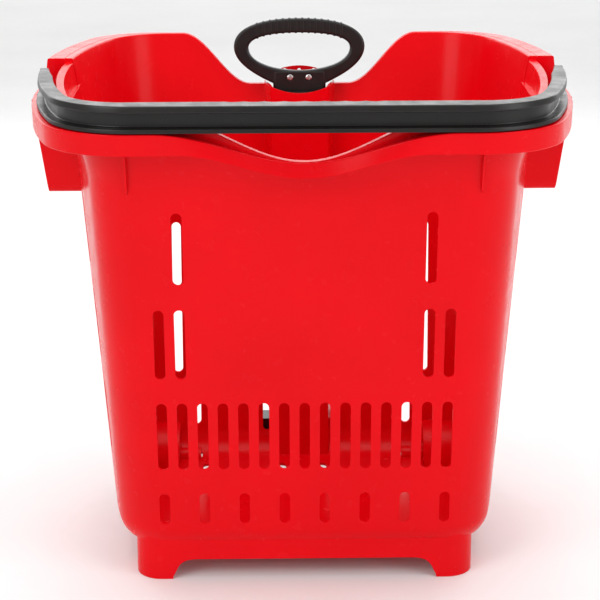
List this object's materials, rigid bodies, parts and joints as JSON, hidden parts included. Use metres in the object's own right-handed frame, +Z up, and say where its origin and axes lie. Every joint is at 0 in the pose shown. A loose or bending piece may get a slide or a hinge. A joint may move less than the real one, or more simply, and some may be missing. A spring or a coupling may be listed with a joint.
{
  "type": "rolling shopping basket",
  "caption": "Moulded plastic shopping basket on small rear wheels, with a carry handle that swings up from the rim and a telescopic pull handle in a rear channel.",
  "frame": {"origin": "on the ground, midway between the side walls and between the front and rear of the rim, under the carry handle's pivot axis", "axes": "+X to the right seen from the front, +Y from the front wall to the rear wall, +Z up"},
  "size_m": [0.4964, 0.3997, 0.4843],
  "materials": {
    "tub_plastic": "glossy moulded polypropylene",
    "handle_plastic": "satin gloss moulded plastic",
    "mast_plastic": "fine grained moulded plastic",
    "screw_steel": "zinc plated",
    "tyre_rubber": "matte moulded tread"
  },
  "bodies": {
    "basket": {"basket_tub": "tub_plastic", "rear_channel_cover": "tub_plastic", "right_lower_cover_screw": "screw_steel", "left_lower_cover_screw": "screw_steel", "right_upper_cover_screw": "screw_steel", "left_upper_cover_screw": "screw_steel", "foot_bracket": "handle_plastic", "right_bracket_screw": "screw_steel", "left_bracket_screw": "screw_steel", "right_pivot_pin": "handle_plastic", "left_pivot_pin": "handle_plastic", "mast_guide_collar": "handle_plastic", "right_axle_pin": "screw_steel", "left_axle_pin": "screw_steel", "right_axle_cap": "mast_plastic", "left_axle_cap": "mast_plastic"},
    "handle": {"carry_handle": "handle_plastic"},
    "mast_outer": {"outer_mast": "mast_plastic", "outer_mast_shoe": "mast_plastic"},
    "mast_inner": {"inner_mast": "mast_plastic", "inner_mast_shoe": "mast_plastic", "pull_grip": "handle_plastic", "right_grip_screw": "screw_steel", "left_grip_screw": "screw_steel"},
    "right_wheel": {"right_wheel_hub": "mast_plastic", "right_tyre": "tyre_rubber"},
    "left_wheel": {"left_wheel_hub": "mast_plastic", "left_tyre": "tyre_rubber"}
  },
  "joints": [
    {"name": "handle_swing", "type": "hinge", "parent": "basket", "child": "handle", "pos_m": [0, 0, 0.43], "axis": [-1, 0, 0], "range_deg": [0, 90]},
    {"name": "mast_outer_slide", "type": "slide", "parent": "basket", "child": "mast_outer", "axis": [0, 0.0995, 0.995], "range_m": [0, 0.24]},
    {"name": "mast_inner_slide", "type": "slide", "parent": "mast_outer", "child": "mast_inner", "axis": [0, 0.0995, 0.995], "range_m": [0, 0.24]},
    {"name": "right_wheel_spin", "type": "hinge", "parent": "basket", "child": "right_wheel", "pos_m": [0.1435, 0.118, 0.03], "axis": [1, 0, 0], "continuous": true},
    {"name": "left_wheel_spin", "type": "hinge", "parent": "basket", "child": "left_wheel", "pos_m": [-0.1435, 0.118, 0.03], "axis": [1, 0, 0], "continuous": true}
  ]
}
